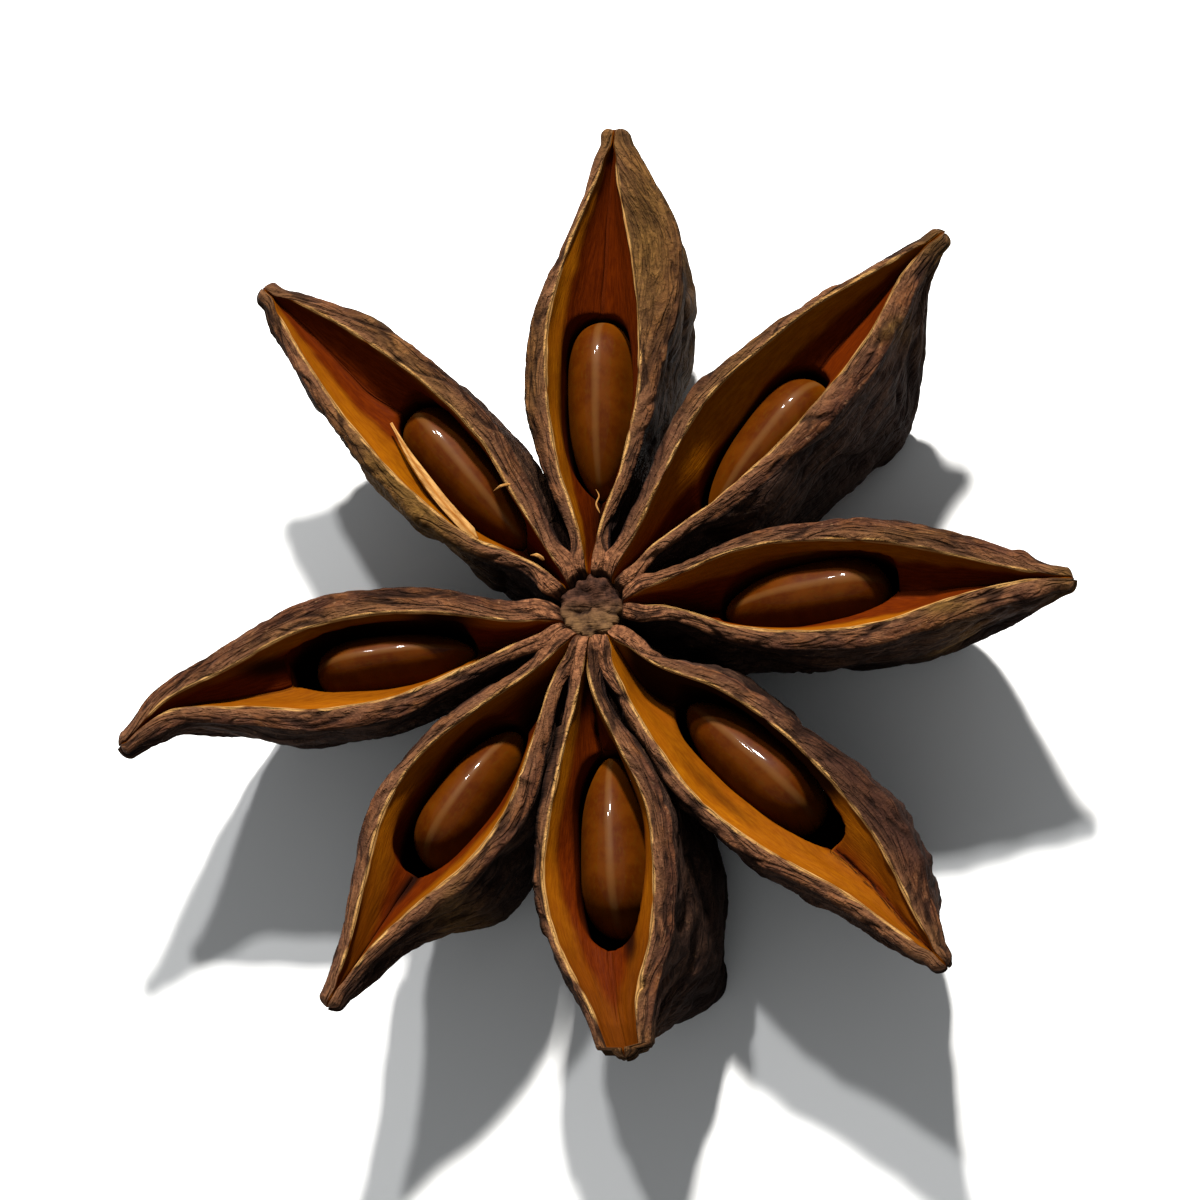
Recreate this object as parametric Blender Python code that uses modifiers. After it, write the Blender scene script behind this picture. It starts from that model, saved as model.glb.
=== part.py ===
"""Star anise pod: eight boat-shaped carpels, split open along the top, round a short central column,
with one seed lying in each. The pod is one woody piece; each seed is a piece of its own.

The pod lies flat on its keels, open side up. +Z is up, the first carpel points along +Y, and the
origin is on the table under the middle of the pod's outline. Sizes below are in millimetres.
"""

import math

import bmesh
import bpy
import numpy as np

MM = 0.001

# The column's axis, off the origin because the carpels are of unequal length.
COLUMN_AT = (-0.373, -1.01)

# The central column, the lobes at its foot and the scar of the stalk under it.
COLUMN_TOP = 7.8
COLUMN_FOOT = 0.7
COLUMN_RADIUS = 1.25
COLUMN_SPREAD = 1.9
COLUMN_DIMPLE = 0.3
COLUMN_STEPS = 16
SCAR_RADIUS = 0.95
STALK_FOOT = 0.25

# The rim's height above the table: at the column, its rise to the beak, and its dip into the column.
RIM_AT_COLUMN = 7.9
RIM_RISE = 1.1
RIM_CURVE = 0.7
RIM_SINK = 0.9
RIM_OUT = 0.075

# The keel's height at the column, where along the reach it comes down, and how far it is worn flat.
KEEL_AT_COLUMN = 1.7
KEEL_LANDS = 0.42
KEEL_WORN = 0.15
BEAK_RADIUS = 0.42
BEAK_TAPER = 5.0
BEAK_PINCH = 0.55

# The split along the top. Starts, ends and slopes are shares of a carpel's reach.
SPLIT_START = 0.045
SPLIT_OPENS = 0.07
SPLIT_END = 0.985
SPLIT_CLOSES = 0.05
LEAST_SPLIT = 0.05

# The walls, and the groove between them away from the seed.
ROOT_REACH = 0.45
RIM_DROP = 0.15
WALL = 0.65
WALL_FULL_FROM = 0.35
WALL_FULL_UNTIL = 0.7
LINING_FALL = 0.8
GROOVE_DEPTH = 2.7
GROOVE_START = 0.085
GROOVE_OPENS = 0.2
GROOVE_CLOSES = 0.5
LEAST_GROOVE = 0.04
GROOVE_WIDEST = 0.6
GROOVE_WIDTH = 0.08

# A seed lies on edge in its pocket, its top a little under the rim.
SEED_TOP = 1.0
SEED_THICK = 2.95
SEED_DEEP = 4.5
SEED_GAP = 0.33
SEED_TAPER = 0.16
SEED_BLUNT = 0.1
POCKET_PAST_SEED = 0.75
POCKET_EDGE = 1.4

# How finely a carpel and a seed are divided. The wall's angles run from the rim down to the keel.
STATIONS = 19
CROWDING = 0.12
WALL_ANGLES = (0, 20, 40, 58, 73, 84)
LINING_STEPS = (0.0, 0.22, 0.55, 1.0)
FLOOR_STEP = 0.7
SEED_SEGMENTS = 12
SEED_RINGS = 8

# Shares of a carpel's reach at which its widths and its rim's widths are given.
WIDTH_AT = (0.15, 0.30, 0.45, 0.60, 0.75, 0.90)
BAND_AT = (0.15, 0.45, 0.80)
BAND_AT_COLUMN = 0.4

# The carpels, clockwise from the one that points along +Y, seen from above. turn is a carpel's
# direction in degrees from +X, and left and right are as seen looking out along it. left and right
# give the split's edges, as distances from the carpel's axis at WIDTH_AT, and the bands the rim's
# width at BAND_AT. keel is how far the keel lies to the left of the split, rise the shares of the
# reach between which it rises to the beak, and belly how far the left and right walls swell between
# rim and keel. seed is the seed's place along and across the carpel, its turn in degrees and its
# length.
CARPELS = (
    dict(
        turn=86.8, reach=21.3, keel=-0.6, rise=(0.6, 1.0), belly=(0.0, 0.1),
        left=(0.6, 1.7, 2.3, 2.4, 1.7, 0.6), right=(0.1, 1.0, 1.5, 1.4, 0.9, 0.2),
        left_band=(0.45, 0.95, 0.35), right_band=(0.45, 0.8, 2.1), seed=(9.8, 0.45, 2, 7.8),
    ),
    dict(
        turn=45.9, reach=21.6, keel=-1.8, rise=(0.68, 1.0), belly=(0.0, 0.6),
        left=(0.8, 1.8, 2.6, 2.4, 1.8, 0.7), right=(0.0, 0.6, 1.0, 1.0, 0.7, -0.1),
        left_band=(0.45, 0.8, 0.35), right_band=(0.4, 0.8, 1.0), seed=(10.2, 0.1, 4, 7.4),
    ),
    dict(
        turn=-0.2, reach=20.4, keel=0.3, rise=(0.66, 1.0), belly=(0.2, -0.5),
        left=(1.1, 2.2, 2.4, 2.1, 1.3, 0.4), right=(0.0, 1.1, 1.5, 1.3, 0.5, 0.0),
        left_band=(0.5, 0.85, 1.1), right_band=(0.5, 0.8, 0.9), seed=(8.7, 0.8, 6, 7.0),
    ),
    dict(
        turn=-48.1, reach=21.7, keel=1.2, rise=(0.65, 1.0), belly=(0.4, 0.0),
        left=(0.2, 1.5, 2.0, 2.0, 1.5, 0.5), right=(1.2, 2.0, 2.3, 1.8, 0.9, 0.35),
        left_band=(0.5, 0.9, 1.3), right_band=(0.4, 0.6, 0.55), seed=(8.7, 0.6, 3, 7.5),
    ),
    dict(
        turn=-85.4, reach=19.3, keel=3.4, rise=(0.72, 1.0), belly=(0.8, 0.0),
        left=(-0.3, 0.6, 1.6, 1.75, 1.4, 0.6), right=(0.6, 1.5, 2.3, 2.75, 2.3, 1.15),
        left_band=(0.5, 0.8, 0.9), right_band=(0.4, 0.4, 0.35), seed=(9.4, -0.1, -2, 7.7),
    ),
    dict(
        turn=-122.7, reach=19.7, keel=0.6, rise=(0.56, 0.83), belly=(0.3, 0.2),
        left=(0.2, 1.0, 1.7, 1.6, 0.65, 0.1), right=(0.5, 1.7, 2.65, 2.55, 1.5, 0.45),
        left_band=(0.5, 0.8, 0.6), right_band=(0.5, 0.65, 0.6), seed=(8.7, -0.7, -2, 6.7),
    ),
    dict(
        turn=-165.3, reach=20.2, keel=-1.0, rise=(0.6, 1.0), belly=(-0.5, 0.2),
        left=(0.4, 0.9, 1.2, 0.75, -0.3, -0.9), right=(0.5, 1.8, 2.6, 2.7, 2.0, 1.3),
        left_band=(0.5, 0.9, 0.8), right_band=(0.9, 1.3, 1.0), seed=(8.6, -1.3, -8, 6.7),
    ),
    dict(
        turn=132.8, reach=20.2, keel=-0.5, rise=(0.6, 1.0), belly=(-0.3, 0.1),
        left=(0.2, 1.3, 1.7, 1.6, 1.2, 0.5), right=(0.5, 1.2, 1.9, 1.9, 1.5, 0.75),
        left_band=(0.5, 0.6, 0.6), right_band=(0.6, 1.0, 0.9), seed=(8.9, -0.7, -5, 7.7),
    ),
)

HUSK_COLOUR = (0.16, 0.075, 0.045, 1.0)
SEED_COLOUR = (0.30, 0.12, 0.02, 1.0)
HUSK_ROUGHNESS = 0.75
SEED_ROUGHNESS = 0.22


def clear_scene():
    for obj in list(bpy.data.objects):
        bpy.data.objects.remove(obj, do_unlink=True)


def make_collection(name, hidden=False):
    collection = bpy.data.collections.new(name)
    bpy.context.scene.collection.children.link(collection)
    collection.hide_render = hidden
    return collection


def make_material(name, colour, roughness):
    material = bpy.data.materials.new(name)
    material.use_nodes = True
    shader = material.node_tree.nodes["Principled BSDF"]
    shader.inputs["Base Color"].default_value = colour
    shader.inputs["Roughness"].default_value = roughness
    shader.inputs["Metallic"].default_value = 0.0
    material.diffuse_color = colour
    return material


def ease(x):
    """0 up to 0, 1 from 1, and smooth between."""
    x = min(max(x, 0.0), 1.0)
    return x * x * (3.0 - 2.0 * x)


def curve_through(places, values, x):
    """A smooth curve through the values, read at x."""
    slopes = np.gradient(values, places)
    i = int(np.clip(np.searchsorted(places, x) - 1, 0, len(places) - 2))
    step = places[i + 1] - places[i]
    f = min(max((x - places[i]) / step, 0.0), 1.0)
    start = (1 + 2 * f) * (1 - f) ** 2 * values[i] + f * (1 - f) ** 2 * step * slopes[i]
    end = f * f * (3 - 2 * f) * values[i + 1] + f * f * (f - 1) * step * slopes[i + 1]
    return start + end


def rim_height(u):
    """Above the table, at a share u of a carpel's reach."""
    sunk = RIM_SINK * (1.0 - ease(u / RIM_OUT))
    return RIM_AT_COLUMN + RIM_RISE * u**RIM_CURVE - sunk


def keel_height(carpel, u):
    near = KEEL_AT_COLUMN * max(1.0 - u / KEEL_LANDS, 0.0) ** 2 - KEEL_WORN
    start, end = carpel["rise"]
    body = 1.0 - ease((u - start) / (end - start))
    beak = rim_height(u) - 2 * BEAK_RADIUS - BEAK_TAPER * (1.0 - u)
    return near * body + beak * (1.0 - body)


def split_edge(carpel, u, side):
    """Across the carpel from its axis to one edge of the split. side is 1 for left and -1 for right."""
    places = np.array((0.0, *WIDTH_AT, 1.0))
    left = curve_through(places, np.array((0.2, *carpel["left"], 0.02)), u)
    right = -curve_through(places, np.array((0.0, *carpel["right"], 0.02)), u)
    middle = (left + right) / 2
    opened = ease((u - SPLIT_START) / SPLIT_OPENS) * ease((SPLIT_END - u) / SPLIT_CLOSES)
    return middle + side * max((left - right) / 2 * opened, LEAST_SPLIT)


def rim_band(carpel, u, side):
    band = carpel["left_band"] if side > 0 else carpel["right_band"]
    places = np.array((0.0, *BAND_AT, 1.0))
    return curve_through(places, np.array((BAND_AT_COLUMN, *band, BEAK_RADIUS)), u)


def seed_share(carpel, u):
    """1 over the middle of the seed, falling to 0 a little past its ends."""
    along, _, _, length = carpel["seed"]
    x = (u * carpel["reach"] - along) / (length / 2 + POCKET_PAST_SEED)
    return math.sqrt(max(1.0 - x * x, 0.0))


def pocket(carpel, u):
    """The pocket's middle across the carpel, half width, depth of its widest part and depth of its floor."""
    along, across, turn, _ = carpel["seed"]
    share = seed_share(carpel, u)
    blend = ease(share * POCKET_EDGE)
    left = split_edge(carpel, u, 1)
    right = split_edge(carpel, u, -1)
    seed_line = across + math.tan(math.radians(turn)) * (u * carpel["reach"] - along)
    middle = (left + right) / 2 * (1 - blend) + seed_line * blend
    groove = ease((u - GROOVE_START) / GROOVE_OPENS) * ease((SPLIT_END - u) / GROOVE_CLOSES)
    groove = GROOVE_DEPTH * groove + LEAST_GROOVE
    half = (SEED_THICK / 2 + SEED_GAP) * share + (left - right) * GROOVE_WIDTH * (1 - share)
    seed_middle = SEED_TOP + SEED_DEEP / 2
    widest = groove * GROOVE_WIDEST * (1 - blend) + seed_middle * blend
    floor = groove * (1 - blend) + (seed_middle + (SEED_DEEP / 2 + SEED_GAP) * share) * blend
    return middle, half, widest, max(floor, widest + LEAST_GROOVE / 2)


def lining(carpel, u, side, depth):
    """Across the carpel to the inner wall, at a depth under the rim."""
    middle, half, widest, floor = pocket(carpel, u)
    edge = split_edge(carpel, u, side)
    if depth <= widest:
        fall_depth = LINING_FALL * min(widest / 2.0, 1.0)
        fall = math.exp(-((depth / fall_depth) ** 1.3))
        return (middle + side * half) * (1 - fall) + edge * fall
    x = min((depth - widest) / (floor - widest), 1.0)
    return middle + side * half * math.sqrt(1.0 - x * x)


def outer_wall(carpel, u, side, angle):
    """(across, depth) of the outer wall at an angle that runs from 0 at the rim to 90 degrees at the keel.

    The wall is an ellipse's quarter that leans with the keel, swollen by the belly, cut off at the
    table, and kept at least WALL thick round the seed's pocket.
    """
    floor = rim_height(u) - keel_height(carpel, u)
    depth = min(RIM_DROP + (floor - RIM_DROP) * math.sin(angle), rim_height(u))
    top = split_edge(carpel, u, side) + side * rim_band(carpel, u, side)
    other = split_edge(carpel, u, -side) - side * rim_band(carpel, u, -side)
    fullness = ease(u / WALL_FULL_FROM) * ease((1.0 - u) / (1.0 - WALL_FULL_UNTIL))
    keel = (top + other) / 2 + carpel["keel"] * fullness
    belly = carpel["belly"][0 if side > 0 else 1] * fullness
    lean = abs(top - keel) / (abs(top - keel) + abs(other - keel))
    across = keel + (top - keel) * math.cos(angle) ** (0.4 + lean)
    across += side * belly * math.sin(2 * angle) ** 1.3
    if angle < math.radians(85) and seed_share(carpel, u) > 0:
        thick = WALL * min(1.0, 0.3 + math.cos(angle))
        across = side * max(side * across, side * lining(carpel, u, side, depth) + thick)
    return across, depth


def section(carpel, u):
    """One closed section as (across, depth) points, down the left wall's outside and round to its inside."""
    angles = [math.radians(angle) for angle in WALL_ANGLES]
    middle, _, widest, floor = pocket(carpel, u)
    depths = [widest * step for step in LINING_STEPS]
    depths.append(widest + (floor - widest) * FLOOR_STEP)
    outside = [outer_wall(carpel, u, 1, angle) for angle in angles]
    outside.append(outer_wall(carpel, u, 1, math.radians(90)))
    outside += [outer_wall(carpel, u, -1, angle) for angle in reversed(angles)]
    inside = [(lining(carpel, u, -1, depth), depth) for depth in depths]
    inside.append((middle, floor))
    inside += [(lining(carpel, u, 1, depth), depth) for depth in reversed(depths)]
    return outside + inside


def station_shares(carpel):
    """Shares of the reach at which the sections stand, closer together towards the beak."""
    start = ROOT_REACH / carpel["reach"]
    even = np.linspace(0.0, 1.0, STATIONS)
    crowded = even * (1.0 + CROWDING) - CROWDING * even**3
    return start + (SPLIT_END - start) * crowded


def in_place(carpel, along, across, height):
    turn = math.radians(carpel["turn"])
    x = COLUMN_AT[0] + along * math.cos(turn) - across * math.sin(turn)
    y = COLUMN_AT[1] + along * math.sin(turn) + across * math.cos(turn)
    return x * MM, y * MM, height * MM


def beak_section(carpel):
    """The last section, drawn in towards its own middle."""
    points = np.array(section(carpel, SPLIT_END))
    middle = points.mean(axis=0)
    return middle + (points - middle) * BEAK_PINCH


def carpel_mesh(carpel):
    """A loft through the carpel's unlike sections, closed at both ends."""
    sections = [(u, section(carpel, u)) for u in station_shares(carpel)]
    sections.append((1.0, beak_section(carpel)))
    bm = bmesh.new()
    rings = []
    for u, points in sections:
        ring = []
        for across, depth in points:
            height = rim_height(u) - depth
            ring.append(bm.verts.new(in_place(carpel, u * carpel["reach"], across, height)))
        rings.append(ring)
    for ring, following in zip(rings, rings[1:]):
        for i in range(len(ring)):
            j = (i + 1) % len(ring)
            bm.faces.new((ring[i], following[i], following[j], ring[j]))
    bm.faces.new(rings[0])
    bm.faces.new(reversed(rings[-1]))
    bmesh.ops.triangulate(bm, faces=bm.faces[:])
    mesh = bpy.data.meshes.new("carpel")
    bm.to_mesh(mesh)
    bm.free()
    return mesh


def add_column(collection, material):
    """The central column with the stalk's scar at its foot, turned round its own axis."""
    profile = (
        (0.0, STALK_FOOT),
        (SCAR_RADIUS, STALK_FOOT),
        (SCAR_RADIUS * 1.1, COLUMN_FOOT),
        (COLUMN_SPREAD, COLUMN_FOOT + 0.8),
        (COLUMN_SPREAD * 0.9, COLUMN_TOP * 0.45),
        (COLUMN_RADIUS, COLUMN_TOP * 0.82),
        (COLUMN_RADIUS, COLUMN_TOP - 0.25),
        (COLUMN_RADIUS * 0.8, COLUMN_TOP),
        (COLUMN_RADIUS * 0.35, COLUMN_TOP - 0.05),
        (0.0, COLUMN_TOP - COLUMN_DIMPLE),
    )
    mesh = bpy.data.meshes.new("pod")
    edges = [(i, i + 1) for i in range(len(profile) - 1)]
    mesh.from_pydata([(r * MM, 0.0, z * MM) for r, z in profile], edges, [])
    mesh.materials.append(material)
    pod = bpy.data.objects.new("pod", mesh)
    pod.location = (COLUMN_AT[0] * MM, COLUMN_AT[1] * MM, 0.0)
    collection.objects.link(pod)
    turning = pod.modifiers.new("turn", "SCREW")
    turning.axis = "Z"
    turning.steps = COLUMN_STEPS
    turning.render_steps = COLUMN_STEPS
    turning.use_merge_vertices = True
    turning.merge_threshold = 0.00001
    turning.use_normal_calculate = True
    return pod


def join_carpels(pod, helpers, material):
    for number, carpel in enumerate(CARPELS, start=1):
        mesh = carpel_mesh(carpel)
        mesh.materials.append(material)
        obj = bpy.data.objects.new(f"carpel_{number}", mesh)
        obj.display_type = "WIRE"
        obj.hide_render = True
        helpers.objects.link(obj)
        joining = pod.modifiers.new(obj.name, "BOOLEAN")
        joining.operation = "UNION"
        joining.solver = "EXACT"
        joining.object = obj


def seed_point(point, length):
    """A point of the unit sphere as a point of the seed: flattened, and narrower towards the column."""
    x, y, z = point
    taper = 1.0 + SEED_TAPER * x - SEED_BLUNT * x * x
    return x * length / 2, y * SEED_THICK / 2 * taper, z * SEED_DEEP / 2 * taper


def add_seed(collection, material, number, carpel):
    along, across, turn, length = carpel["seed"]
    bm = bmesh.new()
    bmesh.ops.create_uvsphere(bm, u_segments=SEED_SEGMENTS, v_segments=SEED_RINGS, radius=1.0)
    for vert in bm.verts:
        end_on = (vert.co.z, vert.co.x, vert.co.y)
        vert.co = [value * MM for value in seed_point(end_on, length)]
    mesh = bpy.data.meshes.new(f"seed_{number}")
    bm.to_mesh(mesh)
    bm.free()
    mesh.materials.append(material)
    mesh.shade_smooth()
    seed = bpy.data.objects.new(f"seed_{number}", mesh)
    height = rim_height(along / carpel["reach"]) - SEED_TOP - SEED_DEEP / 2
    seed.location = in_place(carpel, along, across, height)
    seed.rotation_euler.z = math.radians(carpel["turn"] + turn)
    collection.objects.link(seed)


def main():
    clear_scene()
    parts = make_collection("star_anise_pod")
    helpers = make_collection("carpel_shapes", hidden=True)
    husk = make_material("husk", HUSK_COLOUR, HUSK_ROUGHNESS)
    seed = make_material("seed", SEED_COLOUR, SEED_ROUGHNESS)
    pod = add_column(parts, husk)
    join_carpels(pod, helpers, husk)
    for number, carpel in enumerate(CARPELS, start=1):
        add_seed(parts, seed, number, carpel)


main()
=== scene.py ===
"""The looks of the star anise pod: wrinkled husks with glossy linings, ridged seeds, floor, light, camera."""

import itertools
import math

import bpy
import numpy as np
from mathutils import Matrix, Vector


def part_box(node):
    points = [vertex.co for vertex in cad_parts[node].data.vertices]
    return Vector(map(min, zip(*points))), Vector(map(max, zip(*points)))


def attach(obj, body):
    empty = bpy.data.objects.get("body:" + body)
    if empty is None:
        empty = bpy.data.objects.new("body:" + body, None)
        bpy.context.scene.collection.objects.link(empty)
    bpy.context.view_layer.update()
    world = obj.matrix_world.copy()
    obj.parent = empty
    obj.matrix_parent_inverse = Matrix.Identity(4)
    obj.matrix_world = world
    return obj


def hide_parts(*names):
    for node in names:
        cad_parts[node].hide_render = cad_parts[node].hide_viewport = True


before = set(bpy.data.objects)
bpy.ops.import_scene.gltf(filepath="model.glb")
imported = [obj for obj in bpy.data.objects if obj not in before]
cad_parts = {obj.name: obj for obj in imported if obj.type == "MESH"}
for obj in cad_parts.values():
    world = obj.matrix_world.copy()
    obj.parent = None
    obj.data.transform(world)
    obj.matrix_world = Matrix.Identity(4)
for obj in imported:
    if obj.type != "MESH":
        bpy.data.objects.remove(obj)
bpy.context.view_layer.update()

MM = 0.001

# The solids' own shape, in millimetres. The CAD source explains each value.
COLUMN_AT = np.array((-0.373, -1.01))
COLUMN_TOP = 7.8
COLUMN_FOOT = 0.7
COLUMN_RADIUS = 1.25
COLUMN_SPREAD = 1.9
SCAR_RADIUS = 0.95
STALK_FOOT = 0.25
RIM_AT_COLUMN = 7.9
RIM_RISE = 1.1
RIM_CURVE = 0.7
RIM_SINK = 0.9
RIM_OUT = 0.075
KEEL_AT_COLUMN = 1.7
KEEL_LANDS = 0.42
KEEL_WORN = 0.15
BEAK_RADIUS = 0.42
BEAK_TAPER = 5.0
SPLIT_START = 0.045
SPLIT_OPENS = 0.07
SPLIT_END = 0.985
SPLIT_CLOSES = 0.05
LEAST_SPLIT = 0.05
ROOT_REACH = 0.45
RIM_DROP = 0.15
WALL = 0.65
WALL_FULL_FROM = 0.35
WALL_FULL_UNTIL = 0.7
LINING_FALL = 0.8
GROOVE_DEPTH = 2.7
GROOVE_START = 0.085
GROOVE_OPENS = 0.2
GROOVE_CLOSES = 0.5
LEAST_GROOVE = 0.04
GROOVE_WIDEST = 0.6
GROOVE_WIDTH = 0.08
SEED_TOP = 1.0
SEED_THICK = 2.95
SEED_DEEP = 4.5
SEED_GAP = 0.33
SEED_TAPER = 0.16
SEED_BLUNT = 0.1
POCKET_PAST_SEED = 0.75
POCKET_EDGE = 1.4
WIDTH_AT = (0.15, 0.30, 0.45, 0.60, 0.75, 0.90)
BAND_AT = (0.15, 0.45, 0.80)
BAND_AT_COLUMN = 0.4

CARPELS = (
    dict(
        turn=86.8, reach=21.3, keel=-0.6, rise=(0.6, 1.0), belly=(0.0, 0.1),
        left=(0.6, 1.7, 2.3, 2.4, 1.7, 0.6), right=(0.1, 1.0, 1.5, 1.4, 0.9, 0.2),
        left_band=(0.45, 0.95, 0.35), right_band=(0.45, 0.8, 2.1), seed=(9.8, 0.45, 2, 7.8),
    ),
    dict(
        turn=45.9, reach=21.6, keel=-1.8, rise=(0.68, 1.0), belly=(0.0, 0.6),
        left=(0.8, 1.8, 2.6, 2.4, 1.8, 0.7), right=(0.0, 0.6, 1.0, 1.0, 0.7, -0.1),
        left_band=(0.45, 0.8, 0.35), right_band=(0.4, 0.8, 1.0), seed=(10.2, 0.1, 4, 7.4),
    ),
    dict(
        turn=-0.2, reach=20.4, keel=0.3, rise=(0.66, 1.0), belly=(0.2, -0.5),
        left=(1.1, 2.2, 2.4, 2.1, 1.3, 0.4), right=(0.0, 1.1, 1.5, 1.3, 0.5, 0.0),
        left_band=(0.5, 0.85, 1.1), right_band=(0.5, 0.8, 0.9), seed=(8.7, 0.8, 6, 7.0), longer=-0.4,
    ),
    dict(
        turn=-48.1, reach=21.7, keel=1.2, rise=(0.65, 1.0), belly=(0.4, 0.0),
        left=(0.2, 1.5, 2.0, 2.0, 1.5, 0.5), right=(1.2, 2.0, 2.3, 1.8, 0.9, 0.35),
        left_band=(0.5, 0.9, 1.3), right_band=(0.4, 0.6, 0.55), seed=(8.7, 0.6, 3, 7.5),
    ),
    dict(
        turn=-85.4, reach=19.3, keel=3.4, rise=(0.72, 1.0), belly=(0.8, 0.0),
        left=(-0.3, 0.6, 1.6, 1.75, 1.4, 0.6), right=(0.6, 1.5, 2.3, 2.75, 2.3, 1.15),
        left_band=(0.5, 0.8, 0.9), right_band=(0.4, 0.4, 0.35), seed=(9.4, -0.1, -2, 7.7),
        tip=(0.60, 0.60, 0.005),
    ),
    dict(
        turn=-122.7, reach=19.7, keel=0.6, rise=(0.56, 0.83), belly=(0.3, 0.2),
        left=(0.2, 1.0, 1.7, 1.6, 0.65, 0.1), right=(0.5, 1.7, 2.65, 2.55, 1.5, 0.45),
        left_band=(0.5, 0.8, 0.6), right_band=(0.5, 0.65, 0.6), seed=(8.7, -0.7, -2, 6.7),
    ),
    dict(
        turn=-165.3, reach=20.2, keel=-1.0, rise=(0.6, 1.0), belly=(-0.5, 0.2),
        left=(0.4, 0.9, 1.2, 0.75, -0.3, -0.9), right=(0.5, 1.8, 2.6, 2.7, 2.0, 1.3),
        left_band=(0.5, 0.9, 0.8), right_band=(0.9, 1.3, 1.0), seed=(8.6, -1.3, -8, 6.7),
    ),
    dict(
        turn=132.8, reach=20.2, keel=-0.5, rise=(0.6, 1.0), belly=(-0.3, 0.1),
        left=(0.2, 1.3, 1.7, 1.6, 1.2, 0.5), right=(0.5, 1.2, 1.9, 1.9, 1.5, 0.75),
        left_band=(0.5, 0.6, 0.6), right_band=(0.6, 1.0, 0.9), seed=(8.9, -0.7, -5, 7.7), longer=0.3,
    ),
)

# The column's turned profile, (radius, height), from the middle of the stalk's scar to the middle on top.
COLUMN_PROFILE = (
    (0.02, STALK_FOOT), (SCAR_RADIUS, STALK_FOOT), (SCAR_RADIUS * 1.1, COLUMN_FOOT), (2.6, 1.2), (3.0, 2.4),
    (2.5, 4.2), (COLUMN_RADIUS, 6.2), (COLUMN_RADIUS * 1.04, COLUMN_TOP - 0.15),
    (COLUMN_RADIUS * 0.95, COLUMN_TOP + 0.05), (COLUMN_RADIUS * 0.7, COLUMN_TOP + 0.08),
    (COLUMN_RADIUS * 0.3, COLUMN_TOP - 0.05), (0.02, COLUMN_TOP - 0.12),
)

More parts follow.
